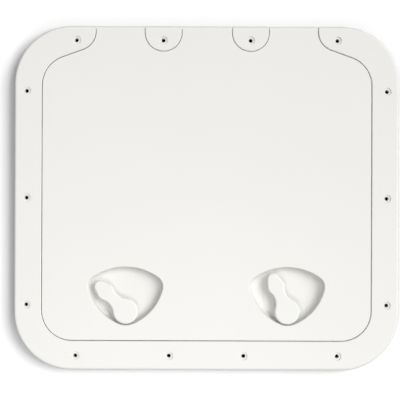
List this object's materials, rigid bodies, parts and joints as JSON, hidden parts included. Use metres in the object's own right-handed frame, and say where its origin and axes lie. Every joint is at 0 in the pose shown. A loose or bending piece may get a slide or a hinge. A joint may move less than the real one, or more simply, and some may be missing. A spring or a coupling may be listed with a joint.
{
  "type": "inspection hatch",
  "caption": "Flush moulded deck hatch: a screw-down flange frame with a gutter and a sealed lid that hinges up and locks with paddle handles.",
  "frame": {"origin": "centre of the deck opening on the deck plane, under the flange", "axes": "+Z out of the deck, +Y to the hinge edge, +X to the right seen from above with the hinge at the top"},
  "size_m": [0.513, 0.458, 0.035],
  "materials": {
    "frame_moulding": "satin off-white, uv stable",
    "lid_moulding": "satin off-white, uv stable",
    "handle_moulding": "satin off-white",
    "seal_rubber": "soft closed-cell black",
    "hinge_steel": "drawn stainless",
    "plug_plastic": "moulded off-white",
    "bearing_plastic": "natural acetal",
    "cam_plastic": "filled nylon, off-white",
    "fastener_steel": "stainless"
  },
  "bodies": {
    "frame": {"frame": "frame_moulding", "hinge_rod_left": "hinge_steel", "hinge_rod_right": "hinge_steel", "rod_plug_left": "plug_plastic", "rod_plug_right": "plug_plastic"},
    "lid": {"lid": "lid_moulding", "lid_gasket": "seal_rubber", "shaft_bush_left": "bearing_plastic", "shaft_bush_right": "bearing_plastic"},
    "latch_left": {"handle_left": "handle_moulding", "shaft_seal_left": "seal_rubber", "friction_washer_left": "bearing_plastic", "cam_left": "cam_plastic", "cam_washer_left": "fastener_steel", "cam_screw_left": "fastener_steel"},
    "latch_right": {"handle_right": "handle_moulding", "shaft_seal_right": "seal_rubber", "friction_washer_right": "bearing_plastic", "cam_right": "cam_plastic", "cam_washer_right": "fastener_steel", "cam_screw_right": "fastener_steel"}
  },
  "joints": [
    {"name": "lid_hinge", "type": "hinge", "parent": "frame", "child": "lid", "pos_m": [0, 0.2245, 0.0045], "axis": [-1, 0, 0], "range_deg": [0, 180]},
    {"name": "latch_left_turn", "type": "hinge", "parent": "lid", "child": "latch_left", "pos_m": [-0.1076, -0.1508, 0], "axis": [0, 0, -1], "range_deg": [0, 91.8]},
    {"name": "latch_right_turn", "type": "hinge", "parent": "lid", "child": "latch_right", "pos_m": [0.1076, -0.1508, 0], "axis": [0, 0, -1], "range_deg": [-22.4, 69.6]}
  ]
}
